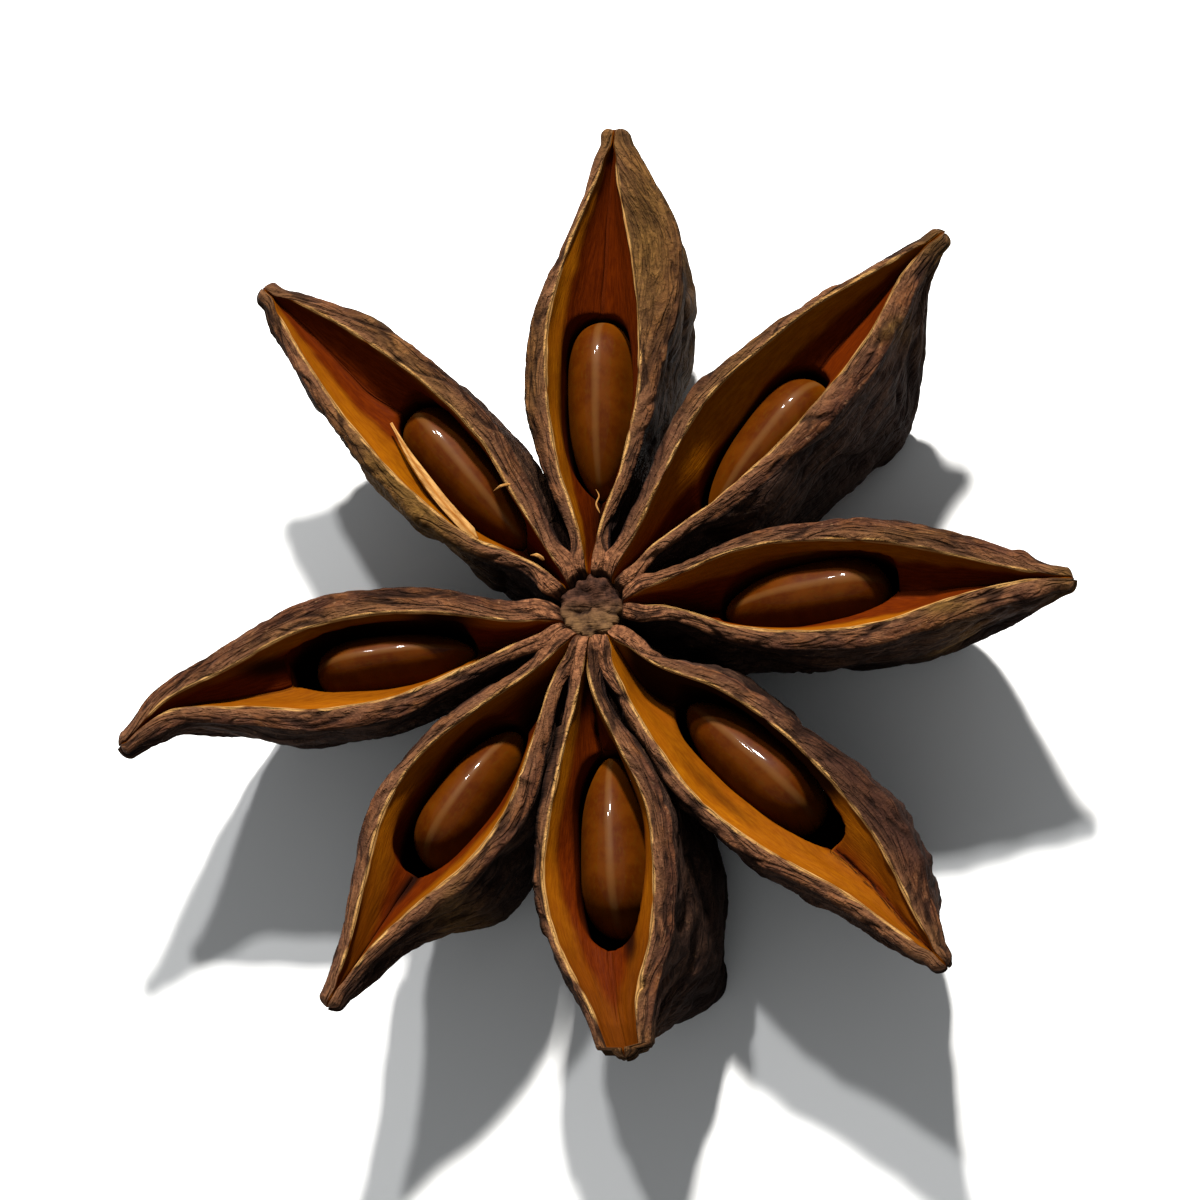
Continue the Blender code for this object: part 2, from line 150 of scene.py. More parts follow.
# What each carpel has of its own, in its own along and across: lumps (along, across, long, wide, height),
# yellowed patches (along, across, long, wide, strength), which paint shade where the strength is negative, how
# far down the lining is amber before it turns dark red, left and right, as a share of its depth and a depth (the
# dark red is partly the lining's own colour and partly painted shade), how far the bed runs past the seed, and
# how deep the groove is beyond it. Some carpels also give how much of each side's lining is painted as lit,
# spots of painted shadow on the lining (along, across, long, wide, strength), and how strongly the dark dots
# along the valley show, a dotted crack that is partly painted shade.
OWN = (
    dict(
        lumps=((21.0, 0.4, 0.3, 0.25, 0.08), (21.0, -0.2, 0.3, 0.25, 0.06), (21.0, 0.1, 0.5, 0.12, -0.08)),
        patches=((16.5, -1.5, 5.5, 1.7, 0.9), (20.8, 0.2, 1.0, 1.0, 0.5), (11.0, 3.0, 6.0, 0.5, 0.5)),
        amber=((0.36, 0.0), (0.0, 0.0)), past_seed=0.05, groove=2.9, painted_lit_side=(0.8, 0.2),
    ),
    dict(
        lumps=((16.8, -1.15, 0.35, 0.3, 0.32), (12.4, -1.9, 1.2, 0.5, 0.2), (18.6, -1.7, 1.0, 0.7, 0.3)),
        patches=((21.0, 0.0, 1.2, 0.8, 0.8), (17.0, -1.2, 0.7, 0.3, 0.9), (12.0, 2.9, 3.0, 0.4, 0.5)),
        amber=((0.50, 0.1), (0.1, 0.0)), past_seed=0.30, groove=2.8, painted_lit_side=(1.0, 0.4),
    ),
    dict(
        lumps=((12.3, 2.4, 0.6, 0.4, 0.15), (14.1, 1.9, 0.5, 0.4, 0.2), (18.1, 1.3, 0.5, 0.4, 0.25),
               (14.8, -1.9, 0.9, 0.5, 0.35), (16.8, -1.6, 0.9, 0.5, 0.4), (18.3, -0.9, 0.7, 0.4, 0.25)),
        patches=((14.6, -0.85, 1.3, 0.4, 1.0), (19.9, 0.1, 1.0, 0.7, 0.8), (13.0, 2.2, 3.0, 0.5, 0.4),
                 (16.2, -1.9, 1.6, 0.5, 0.6)),
        amber=((0.40, 0.0), (0.3, 0.0)), past_seed=0.5, groove=2.6, painted_lit_side=(0.6, 0.5),
    ),
    dict(
        lumps=((15.2, 3.3, 0.6, 0.45, 0.32), (16.4, 3.2, 0.5, 0.4, 0.3), (18.2, 2.5, 0.6, 0.4, 0.28),
               (13.6, -2.6, 0.8, 0.4, 0.2)),
        patches=((20.5, 0.3, 1.2, 1.0, 0.3), (14.5, 2.7, 4.5, 1.3, -1.2)),
        amber=((0.9, 0.0), (1.1, 0.0)), past_seed=2.0, groove=2.0, crack_and_shade=1.0, painted_lit_side=(0.2, 0.5),
        shades=((3.5, 0.2, 1.6, 0.8, 1.2), (5.5, 1.1, 1.8, 0.8, 1.2), (8.5, 2.0, 3.4, 0.8, 1.2),
                (11.6, 1.9, 2.0, 0.6, 1.0), (9.5, -1.5, 3.0, 0.35, 0.5)),
    ),
    dict(
        lumps=((16.5, 0.95, 0.25, 0.3, -0.25), (11.0, 4.6, 0.9, 0.9, 0.5), (13.2, 4.5, 0.8, 0.8, 0.45),
               (15.2, 3.9, 0.8, 0.8, 0.5), (16.6, 2.9, 0.5, 0.6, 0.25)),
        patches=((16.3, 0.8, 0.8, 0.25, 0.9), (18.9, 0.0, 0.9, 1.2, 0.5)),
        amber=((0.0, 0.8), (0.0, 0.7)), past_seed=1.2, groove=2.2, runs_out=0.12, painted_lit_side=(0.0, 0.0),
        shades=((14.2, 0.45, 1.3, 0.35, 0.9),),
    ),
    dict(
        lumps=((7.55, 1.75, 0.15, 0.25, 0.25), (13.0, 3.0, 1.0, 0.7, 0.3), (15.0, 2.2, 0.9, 0.5, 0.3)),
        patches=((14.0, 1.8, 3.0, 0.4, 0.5),),
        amber=((0.0, 0.9), (0.0, 1.1)), past_seed=1.0, groove=2.6, painted_lit_side=(0.15, 0.15),
        shades=((4.8, -0.2, 1.8, 0.7, 0.8), (13.2, -0.5, 1.8, 0.3, 0.9)),
    ),
    dict(
        lumps=((18.5, 0.0, 0.7, 0.4, 0.3), (16.9, 1.2, 0.9, 0.4, 0.3), (14.0, 2.0, 0.8, 0.4, 0.2)),
        patches=((11.0, -2.9, 4.0, 0.4, 0.3),),
        amber=((1.2, 0.0), (0.35, 0.0)), past_seed=0.9, groove=2.4, painted_lit_side=(0.38, 0.1),
        shades=((5.6, -1.8, 2.6, 0.8, 1.0), (9.8, -3.2, 3.0, 0.7, 0.9), (13.4, -1.9, 1.6, 0.35, 0.9)),
    ),
    dict(
        lumps=((11.6, 2.2, 0.9, 0.4, 0.15), (8.2, 2.3, 1.2, 0.4, 0.15), (14.0, -1.9, 0.2, 0.15, 0.15)),
        patches=((9.5, 1.9, 3.8, 0.6, 1.2), (13.5, -2.1, 5.0, 0.6, 0.5), (19.3, 0.0, 1.2, 0.8, 0.4)),
        amber=((0.55, 0.0), (0.1, 0.0)), past_seed=0.10, groove=2.6, painted_lit_side=(0.6, 0.2),
    ),
)

# Fibres and torn slivers: carpel, points (along, across, depth under the rim), half width and thickness.
STRANDS = (
    (8, ((12.4, 0.15, 0.9), (10.6, 0.62, 0.7), (8.4, 1.0, 0.4), (6.6, 1.15, 0.05), (5.7, 1.15, 0.1)), 0.24, 0.05),
    (8, ((6.8, -0.75, 0.2), (6.6, -1.1, -0.12), (6.35, -1.5, -0.05)), 0.06, 0.04),
    (8, ((3.7, 0.05, 0.35), (3.4, -0.12, 0.1), (3.1, -0.2, 0.25)), 0.08, 0.07),
    (1, ((5.6, 0.2, 0.9), (5.2, 0.0, 0.6), (4.8, 0.08, 0.5), (4.4, -0.1, 0.5)), 0.035, 0.03),
    (1, ((4.9, -0.4, 0.5), (4.4, -0.55, 0.2), (4.0, -0.4, 0.3)), 0.04, 0.03),
)
STRAND_LONG = 24
STRAND_ROUND = 12

# The lining that shows: how much deeper its groove is at the seed, and how full its sides are.
GROOVE_AT_SEED = 1.0
GROOVE_PAST_SEED = 0.6
GROOVE_KEEL = 0.05
LINING_SHARE = 0.72
BED_GAP = 0.04
BED_OVER_KEEL = 0.8
BED_PAST_INNER = 0.15
BED_SQUARE = 2.3
BED_FROM = 0.15
BED_OPENS = 0.8
BED_ROUNDED = 0.10
BOAT_ROUND = 1.1
BOAT_FULL = 0.8

# How finely the pieces are divided: stations along a carpel, and points round each part of a section.
STATIONS = 212
TIP_STATIONS = 14
WALL_POINTS = 68
BAND_POINTS = 18
LINING_POINTS = 28
SEED_ROUND = 80
SEED_LONG = 56
COLUMN_ROUND = 200
COLUMN_RINGS = 80

# Relief, in millimetres.
FOLD_HEIGHT = 0.28
WRINKLE_HEIGHT = 0.30
CREASE_HEIGHT = 0.20
CRACK_HEIGHT = 0.10
GRAIN_HEIGHT = 0.035
RIM_CROWN = 0.12
RIM_ROUGH = 0.13
RIM_FINE = 0.5
WALL_LENGTH = 8.0
EDGE_PROUD = 0.07
EDGE_WIDE = 0.22
LINING_WAVE = 0.05
LUMPS_DOWN_TO = 6.5
LIP_SWELL = 0.20
LIP_HEIGHT = 0.18
LIP_LONG = 0.8
LIP_WIDE = 0.75
LIPS_END_AT = 1.42
LIPS_LEAN = 0.35
LIPS_DROP = 0.55
HUB_TINT_REACH = 4.2
FUSE_HEIGHT = 0.5
FUSE_REACH = 4.0
# How softly the lining turns dark red, partly its own colour and partly painted shade.
RED_AND_SHADE_EDGE = 0.35
# How strongly the dark dots along the valley show: a dotted crack, partly painted shade.
FAINT_CRACK_AND_SHADE = 0.955
KEEL_CLEAR = 0.01

SEED_FULL = (4.0, 2.5)
SEED_BOXY = 0.94
SEED_RIDGE = 0.03
SEED_WAVE = 0.004
SEED_SLIM = {6: 0.92, 7: 0.80}

LATTICE = 512
RANDOM = np.random.default_rng(23)
GRADIENTS = RANDOM.normal(size=(LATTICE, 3))
GRADIENTS /= np.linalg.norm(GRADIENTS, axis=1, keepdims=True)
SHUFFLE = RANDOM.permutation(LATTICE)


def noise(points, salt=0):
    """Smooth noise, about -1 to 1, at each point of an array whose last axis holds x, y and z."""
    cell = np.floor(points).astype(int)
    inside = points - cell
    weight = inside**3 * (inside * (inside * 6 - 15) + 10)
    total = np.zeros(points.shape[:-1])
    for corner in itertools.product((0, 1), repeat=3):
        at = cell + corner
        pick = SHUFFLE[(at[..., 2] + salt * 37) % LATTICE]
        pick = SHUFFLE[(pick + at[..., 1]) % LATTICE]
        pick = SHUFFLE[(pick + at[..., 0]) % LATTICE]
        share = np.prod(np.where(corner, weight, 1 - weight), axis=-1)
        total += share * np.sum(GRADIENTS[pick] * (inside - corner), axis=-1)
    return np.clip(total * 1.7, -1.0, 1.0)


def creased(points, salt=0, wide=0.16):
    """1 on smooth ground, falling to 0 in thin creases."""
    return 1.0 - np.exp(-((noise(points, salt) / wide) ** 2))


def ease(x):
    x = np.clip(x, 0.0, 1.0)
    return x * x * (3.0 - 2.0 * x)


def hump(x, middle, wide):
    """1 at the middle, falling smoothly to 0 at wide away from it."""
    return ease(1.0 - np.abs(x - middle) / wide)


def curve_through(places, values, x):
    """A smooth curve through the values, read at x."""
    places = np.array(places)
    values = np.array(values)
    slopes = np.gradient(values, places)
    i = np.clip(np.searchsorted(places, x) - 1, 0, len(places) - 2)
    step = places[i + 1] - places[i]
    f = np.clip((x - places[i]) / step, 0.0, 1.0)
    start = (1 + 2 * f) * (1 - f) ** 2 * values[i] + f * (1 - f) ** 2 * step * slopes[i]
    end = f * f * (3 - 2 * f) * values[i + 1] + f * f * (f - 1) * step * slopes[i + 1]
    return start + end


def rim_height(u):
    painted_sunk_shade = RIM_SINK * (1.0 - ease(u / RIM_OUT))
    return RIM_AT_COLUMN + RIM_RISE * u**RIM_CURVE - painted_sunk_shade


def keel_height(carpel, u):
    near = KEEL_AT_COLUMN * np.maximum(1.0 - u / KEEL_LANDS, 0.0) ** 2 - KEEL_WORN
    start, end = carpel["rise"]
    body = 1.0 - ease((u - start) / (end - start))
    beak = rim_height(u) - 2 * BEAK_RADIUS - BEAK_TAPER * (1.0 - u)
    return near * body + beak * (1.0 - body)


def split_edge(carpel, u, side):
    places = (0.0, *WIDTH_AT, 1.0)
    tip_left, tip_right, closes = carpel.get("tip", (0.02, 0.02, SPLIT_CLOSES))
    left = curve_through(places, (0.2, *carpel["left"], tip_left), u)
    right = -curve_through(places, (0.0, *carpel["right"], tip_right), u)
    middle = (left + right) / 2
    opened = ease((u - SPLIT_START) / SPLIT_OPENS) * ease((SPLIT_END - u) / closes)
    return middle + side * np.maximum((left - right) / 2 * opened, LEAST_SPLIT)


def rim_band(carpel, u, side):
    band = carpel["left_band"] if side > 0 else carpel["right_band"]
    swollen = LIP_SWELL * hump(u * carpel["reach"], 2.0, 1.5)
    return curve_through((0.0, *BAND_AT, 1.0), (BAND_AT_COLUMN, *band, BEAK_RADIUS), u) + swollen


def seed_share(carpel, u, past_seed=POCKET_PAST_SEED):
    along, _, _, length = carpel["seed"]
    x = (u * carpel["reach"] - along) / (length / 2 + past_seed)
    return np.sqrt(np.maximum(1.0 - x * x, 0.0))


def pocket(carpel, u, past_seed=POCKET_PAST_SEED):
    """The pocket's middle across the carpel, half width, depth of its widest part and depth of its floor."""
    along, across, turn, _ = carpel["seed"]
    share = seed_share(carpel, u, past_seed)
    blend = ease(share * POCKET_EDGE)
    left = split_edge(carpel, u, 1)
    right = split_edge(carpel, u, -1)
    seed_line = across + math.tan(math.radians(turn)) * (u * carpel["reach"] - along)
    middle = (left + right) / 2 * (1 - blend) + seed_line * blend
    groove = ease((u - GROOVE_START) / GROOVE_OPENS) * ease((SPLIT_END - u) / GROOVE_CLOSES)
    groove = GROOVE_DEPTH * groove + LEAST_GROOVE
    half = (SEED_THICK / 2 + SEED_GAP) * share + (left - right) * GROOVE_WIDTH * (1 - share)
    seed_middle = SEED_TOP + SEED_DEEP / 2
    widest = groove * GROOVE_WIDEST * (1 - blend) + seed_middle * blend
    floor = groove * (1 - blend) + (seed_middle + (SEED_DEEP / 2 + SEED_GAP) * share) * blend
    return middle, half, widest, np.maximum(floor, widest + LEAST_GROOVE / 2)


def lining(carpel, u, side, depth):
    """Across the carpel to the inner wall, at a depth under the rim."""
    middle, half, widest, floor = pocket(carpel, u)
    edge = split_edge(carpel, u, side)
    fall_depth = LINING_FALL * np.minimum(widest / 2.0, 1.0)
    fall = np.exp(-((depth / fall_depth) ** 1.3))
    upper = (middle + side * half) * (1 - fall) + edge * fall
    x = np.clip((depth - widest) / (floor - widest), 0.0, 1.0)
    lower = middle + side * half * np.sqrt(1.0 - x * x)
    return np.where(depth <= widest, upper, lower)


def bed_share(carpel, own, u):
    """How wide the seed's bed is, 0 to 1: it follows the seed's blunt ends, and runs past the outer one."""
    along, _, _, length = carpel["seed"]
    x = u * carpel["reach"] - along
    x = x / (length / 2 + np.where(x > 0, own["past_seed"], BED_PAST_INNER))
    return np.sqrt(np.maximum(1.0 - np.abs(x) ** np.where(x > 0, *SEED_FULL), 0.0))


def boat_floor(carpel, own, u):
    """Depth of the groove that would show without a seed: it deepens from the beak to the seed's middle."""
    along, _, _, length = carpel["seed"]
    x = u * carpel["reach"]
    shallow = 1.0 - np.clip((x - along) / (carpel["reach"] * SPLIT_END - along), 0, 1 - own.get("runs_out", 0.0))
    near_seed = GROOVE_AT_SEED * hump(x, along, length / 2 + GROOVE_PAST_SEED)
    return (own["groove"] + near_seed) * ease((u - 0.06) / 0.14) * shallow**0.75 + 0.05


def shown_floor(carpel, own, u):
    """Depth of the lining's floor: the groove's, or the bed's where that is deeper."""
    share = bed_share(carpel, own, u)
    bed = SEED_TOP + SEED_DEEP / 2 + (SEED_DEEP / 2 + SEED_GAP) * share
    bed = np.minimum(bed, rim_height(u) - keel_height(carpel, u) - BED_OVER_KEEL)
    return np.maximum(boat_floor(carpel, own, u) + GROOVE_KEEL, bed * ease(share * 2.5))


def shown_lining(carpel, own, u, side, depth):
    """Across the carpel to the lining: a boat's inner side, hollowed where the seed lies."""
    along, across, turn, _ = carpel["seed"]
    share = bed_share(carpel, own, u)
    left = split_edge(carpel, u, 1)
    right = split_edge(carpel, u, -1)
    edge = left if side > 0 else right
    seed_line = across + math.tan(math.radians(turn)) * (u * carpel["reach"] - along)
    near = ease(1.5 - np.abs(u * carpel["reach"] - along) / (carpel["seed"][3] / 2))
    middle = (left + right) / 2 * (1 - near) + seed_line * near
    t = np.clip(depth / (boat_floor(carpel, own, u) + GROOVE_KEEL), 0, 1)
    boat = side * (edge - middle) * (1.0 - t**BOAT_ROUND) ** BOAT_FULL
    below = np.maximum(depth - SEED_TOP - SEED_DEEP / 2, 0.0)
    level = below / np.maximum((SEED_DEEP / 2 + SEED_GAP) * share, 1e-3)
    bed = (SEED_THICK / 2 + BED_GAP) * share * np.maximum(1.0 - level**BED_SQUARE, 0.0) ** (1 / BED_SQUARE)
    bed = (side * (seed_line - middle) + bed) * ease((depth - BED_FROM) / BED_OPENS)
    bed = np.where((share > 0) & (level < 1), bed, -9.0)
    blend = np.clip(0.5 + (bed - boat) / (2 * BED_ROUNDED), 0, 1)
    offset = boat + (bed - boat) * blend + BED_ROUNDED * blend * (1.0 - blend)
    return middle + side * np.maximum(offset, 0.0)


def outer_wall(carpel, u, side, angle):
    """(across, depth) of the outer wall at an angle that runs from 0 at the rim to 90 degrees at the keel."""
    floor = rim_height(u) - keel_height(carpel, u)
    depth = np.minimum(RIM_DROP + (floor - RIM_DROP) * np.sin(angle), rim_height(u))
    top = split_edge(carpel, u, side) + side * rim_band(carpel, u, side)
    other = split_edge(carpel, u, -side) - side * rim_band(carpel, u, -side)
    fullness = ease(u / WALL_FULL_FROM) * ease((1.0 - u) / (1.0 - WALL_FULL_UNTIL))
    keel = (top + other) / 2 + carpel["keel"] * fullness
    belly = carpel["belly"][0 if side > 0 else 1] * fullness
    lean = np.abs(top - keel) / (np.abs(top - keel) + np.abs(other - keel))
    across = keel + (top - keel) * np.cos(angle) ** (0.4 + lean)
    across = across + side * belly * np.sin(2 * angle) ** 1.3
    thick = WALL * np.minimum(1.0, 0.3 + np.cos(angle))
    kept = side * np.maximum(side * across, side * lining(carpel, u, side, depth) + thick)
    held = (angle < math.radians(85)) & (seed_share(carpel, u) > 0)
    return np.where(held, kept, across), depth


def carpel_grid(carpel, own):
    """The carpel's smooth form: its points (along, across, height) and what each point belongs to.

    Sections run down the left wall's outside, up the right wall's, over the right rim, down and up the
    lining, and back over the left rim.
    """
    start = ROOT_REACH / carpel["reach"]
    u = np.linspace(start, SPLIT_END, STATIONS)[:, None]
    down = np.linspace(0.0, 1.0, WALL_POINTS)[None, :]
    angle = math.radians(90) * down**1.25
    over = np.linspace(0.0, 1.0, BAND_POINTS + 2)[None, 1:-1]
    into = np.linspace(0.0, 1.0, LINING_POINTS)[None, :]
    floor = shown_floor(carpel, own, u)
    groove = boat_floor(carpel, own, u)
    fields = {name: [] for name in ("across", "depth", "wall", "rim", "edge", "lip", "inner", "round")}

    def add(across, depth, wall=0.0, rim=0.0, edge=0.0, lip=0.0, inner=0.0, turned=0.0):
        shape = np.broadcast_shapes(across.shape, depth.shape)
        for name, value in zip(fields, (across, depth, wall, rim, edge, lip, inner, turned)):
            fields[name].append(np.broadcast_to(value, shape))

    def add_wall(side, reverse):
        across, depth = outer_wall(carpel, u, side, angle)
        turned = side * (1.0 - down)
        if reverse:
            add(across[:, -2::-1], depth[:, -2::-1], wall=1.0, turned=turned[:, -2::-1])
        else:
            add(across, depth, wall=1.0, turned=turned)

    def add_rim(side, reverse):
        """From the outer edge to the split, or back when reversed."""
        b = over[:, ::-1] if reverse else over
        band = rim_band(carpel, u, side)
        edge = split_edge(carpel, u, side)
        across = edge + side * band * (1.0 - b)
        crown = RIM_CROWN * np.sin(math.pi * np.clip(b * 0.9 + 0.1, 0, 1)) * ease(band / 0.3)
        depth = RIM_DROP * (1.0 - b) ** 1.5 - crown
        near = hump((1.0 - b) * band, 0.0, EDGE_WIDE)
        lip = hump((1.0 - b) * band, 0.0, LIP_WIDE)
        add(across, depth, rim=1.0, edge=near, lip=lip, turned=side * (1.0 + b * band / WALL_LENGTH))

    def add_lining(side, reverse):
        """From the split down to the floor, or up when reversed."""
        d = into[:, -2::-1] if reverse else into
        depth = groove * np.clip(d / LINING_SHARE, 0, 1) ** 1.25
        depth = depth + (floor - groove) * np.clip((d - LINING_SHARE) / (1 - LINING_SHARE), 0, 1)
        near = hump(depth, 0.0, EDGE_WIDE * 0.7)
        across = shown_lining(carpel, own, u, side, depth)
        add(across, depth, edge=near, lip=near, inner=1.0, turned=side * (1 - d))

    add_wall(1, False)
    add_wall(-1, True)
    add_rim(-1, False)
    add_lining(-1, False)
    add_lining(1, True)
    add_rim(1, True)
    joined = {name: np.concatenate(parts, axis=1) for name, parts in fields.items()}
    joined["u"] = np.broadcast_to(u, joined["across"].shape).copy()
    return joined


def close_tip(grid):
    """Adds stations that draw the last section in to a small round beak."""
    last = {name: values[-1:] for name, values in grid.items()}
    middle = {name: last[name].mean() for name in ("across", "depth")}
    share = np.sin(np.linspace(0.0, 1.0, TIP_STATIONS + 1)[1:] * math.radians(86))[:, None]
    shrink = np.sqrt(1.0 - share**2)
    closed = {name: np.repeat(values, TIP_STATIONS, axis=0) for name, values in last.items()}
    for name in ("across", "depth"):
        closed[name] = middle[name] + (last[name] - middle[name]) * shrink
    closed["u"] = last["u"] + (1.0 - last["u"]) * share + 0.0 * last["across"]
    return {name: np.concatenate((grid[name], closed[name])) for name in grid}


def normals_of(points):
    """Unit normals of a grid that is closed along its second axis, pointing out of the carpel."""
    along = np.gradient(points, axis=0)
    around = np.roll(points, -1, axis=1) - np.roll(points, 1, axis=1)
    normal = np.cross(along, around)
    length = np.linalg.norm(normal, axis=-1, keepdims=True)
    return normal / np.maximum(length, 1e-9)


def smoothed(values, times):
    for _ in range(times):
        values = values * 0.5 + (np.roll(values, 1, axis=1) + np.roll(values, -1, axis=1)) * 0.25
    return values


def spots(places, along, across):
    """The sum of soft round or long spots: each place is (along, across, long, wide, strength)."""
    total = np.zeros(along.shape)
    for at, beside, long, wide, strength in places:
        far = ((along - at) / long) ** 2 + ((across - beside) / wide) ** 2
        total = total + strength * np.exp(-far)
    return total


def lips_end(carpel):
    """How far from the column's axis the rims end: the disc on top lies off the axis, towards +Y."""
    return LIPS_END_AT + LIPS_LEAN * math.sin(math.radians(carpel["turn"]))


def relief(number, own, grid, along, lips_at):
    """How far each point moves out along its normal, and how high it stands among the creases, 0 to 1.

    Wrinkles run lengthwise, so the noise is stretched along the carpel.
    """
    salt = number * 11
    around = grid["round"] * WALL_LENGTH

    def field(per_along, per_around, at, kind=noise, warp=0.0):
        third = along * 0.02 + number * 3.7 + at
        return kind(np.stack((along * per_along, around * per_around + warp, third), axis=-1), salt + at)

    warp = field(0.35, 0.5, 1) * 0.9
    folds = field(0.28, 0.40, 2)
    wrinkles = field(0.26, 0.80, 3, noise, warp)
    creases = field(0.26, 1.3, 4, creased, warp * 1.3)
    cracks = field(0.55, 2.8, 5, creased, warp * 2.2)
    grains = field(3.0, 6.0, 6)
    ragged = field(1.1, 1.6, 7)
    height = np.clip(0.25 + 0.25 * wrinkles + creases * 0.35 + cracks * 0.30 + 0.1 * grains, 0, 1)

    fine = CREASE_HEIGHT * (creases - 0.7) + CRACK_HEIGHT * (cracks - 0.7) + GRAIN_HEIGHT * grains
    wall = FOLD_HEIGHT * folds + WRINKLE_HEIGHT * wrinkles + fine
    rim = RIM_ROUGH * wrinkles + fine * RIM_FINE
    edge = EDGE_PROUD * grid["edge"] * (0.6 + 0.8 * ragged)
    wave = LINING_WAVE * field(0.5, 0.6, 8)
    near_rim = 0.45 + 0.55 * ease((1.0 - np.abs(grid["round"])) / 0.15)
    ends = ease((along - 0.8) / 3.0) * (0.45 + 0.55 * ease((1.0 - grid["u"]) / 0.12))
    out = wall * grid["wall"] * near_rim + rim * grid["rim"] * (1 - grid["edge"] * 0.7)
    out = out + edge + wave * grid["inner"]
    skin = (grid["rim"] + grid["wall"]) * (grid["depth"] < LUMPS_DOWN_TO)
    lumps = spots(own["lumps"], along, grid["across"]) * skin
    lips = LIP_HEIGHT * hump(along, lips_at + 0.45, LIP_LONG) * grid["rim"]
    height = height * np.where(grid["rim"] > 0, ease((along - lips_at + 0.25) / 0.35), 1.0)
    fuse = FUSE_HEIGHT * hump(along, FUSE_REACH, 3.2) * ease((grid["depth"] - 0.8) / 1.6) * grid["wall"]
    return smoothed(out * ends + lumps + lips + fuse, 1), height


def mesh_object(name, points, faces, attributes=()):
    mesh = bpy.data.meshes.new(name)
    mesh.from_pydata((points * MM).tolist(), [], faces)
    for label, values in attributes:
        attribute = mesh.attributes.new(label, "FLOAT", "POINT")
        attribute.data.foreach_set("value", np.asarray(values, np.float32).ravel())
    mesh.shade_smooth()
    obj = bpy.data.objects.new(name, mesh)
    bpy.context.scene.collection.objects.link(obj)
    return obj


def tube_faces(rows, columns):
    """Quads of a grid closed along its columns, and the two end caps."""
    i = np.arange(rows - 1)[:, None] * columns
    j = np.arange(columns)[None, :]
    k = (j + 1) % columns
    quads = np.stack((i + j, i + columns + j, i + columns + k, i + k), axis=-1).reshape(-1, 4)
    first = list(range(columns))
    last = list(range((rows - 1) * columns, rows * columns))
    return quads.tolist() + [first, last[::-1]]


def in_place(carpel, along, across, height):
    turn = math.radians(carpel["turn"])
    x = COLUMN_AT[0] + along * math.cos(turn) - across * math.sin(turn)
    y = COLUMN_AT[1] + along * math.sin(turn) + across * math.cos(turn)
    return np.stack((x, y, height), axis=-1)


def add_carpel(number, carpel, own, material):
    grid = close_tip(carpel_grid(carpel, own))
    along = grid["u"] * carpel["reach"] + carpel.get("longer", 0.0) * grid["u"] ** 4
    depth = smoothed(grid["depth"], 2)
    points = np.stack((along, grid["across"], rim_height(grid["u"]) - depth), axis=-1)
    out, height = relief(number, own, grid, along, lips_end(carpel))
    points = points + normals_of(points) * out[..., None]
    points[..., 2] -= LIPS_DROP * ease((lips_end(carpel) - along) / 0.25)
    points[..., 2] = np.maximum(points[..., 2], KEEL_CLEAR)
    placed = in_place(carpel, points[..., 0], points[..., 1], points[..., 2])
    rows, columns = grid["u"].shape
    ragged = noise(np.stack((along * 1.2, grid["round"] * 3, along * 0 + number), axis=-1), 60)
    pale = grid["edge"] * ease((0.97 - grid["u"]) / 0.08) * np.clip(0.85 + 0.7 * ragged, 0, 1)
    hub = ease((HUB_TINT_REACH - along) / 2.6) * grid["rim"]
    pale = pale * (1.0 - 0.6 * hub) * ease((along - lips_end(carpel)) / 0.6)
    # Yellowed patches, and painted shade where a patch's strength is negative.
    yellow_and_shade = spots(own["patches"], along, grid["across"]) * (1.0 - grid["inner"])
    # The lining turns from amber to dark red deeper down: partly its own colour, partly painted shade.
    share, down = np.where(grid["round"][..., None] > 0, *own["amber"]).transpose(2, 0, 1)
    floor = np.maximum(boat_floor(carpel, own, np.minimum(grid["u"], SPLIT_END)), 0.2)
    dark_red_and_shade = ease((grid["depth"] - share * floor - down - 0.1 * ragged) / RED_AND_SHADE_EDGE + 0.5)
    # Dark dots along the valley's bottom: a dotted crack, partly painted shade where the walls meet.
    valley = np.clip(grid["depth"] / floor, 0, 1) * grid["inner"] * own.get("crack_and_shade", FAINT_CRACK_AND_SHADE)
    # Painted light: how much of each side's lining stays lit amber, kept from the painted shade deeper down.
    painted_lit_side = np.where(grid["round"] > 0, *own["painted_lit_side"]) + 0 * along
    # Painted shadow: spots where the lining is darkened nearly to black.
    shade = spots(own.get("shades", ()), along, grid["across"]) * grid["inner"]
    attributes = (
        ("rim", grid["rim"]), ("edge", pale), ("lip", grid["lip"]), ("hub", hub), ("inner", grid["inner"]),
        ("valley", valley), ("dark_red_and_shade", dark_red_and_shade), ("painted_lit_side", painted_lit_side),
        ("shade", shade),
        ("deep", np.clip(grid["depth"] / 5.0, 0, 1)), ("height", height), ("yellow_and_shade", yellow_and_shade),
        ("along", along), ("around", grid["round"] * WALL_LENGTH + number * 40.0), ("reach", grid["u"]),
    )
    obj = mesh_object(f"carpel_{number}", placed.reshape(-1, 3), tube_faces(rows, columns), attributes)
    obj.data.materials.append(material)
    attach(obj, "root")
    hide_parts("pod")
    return obj


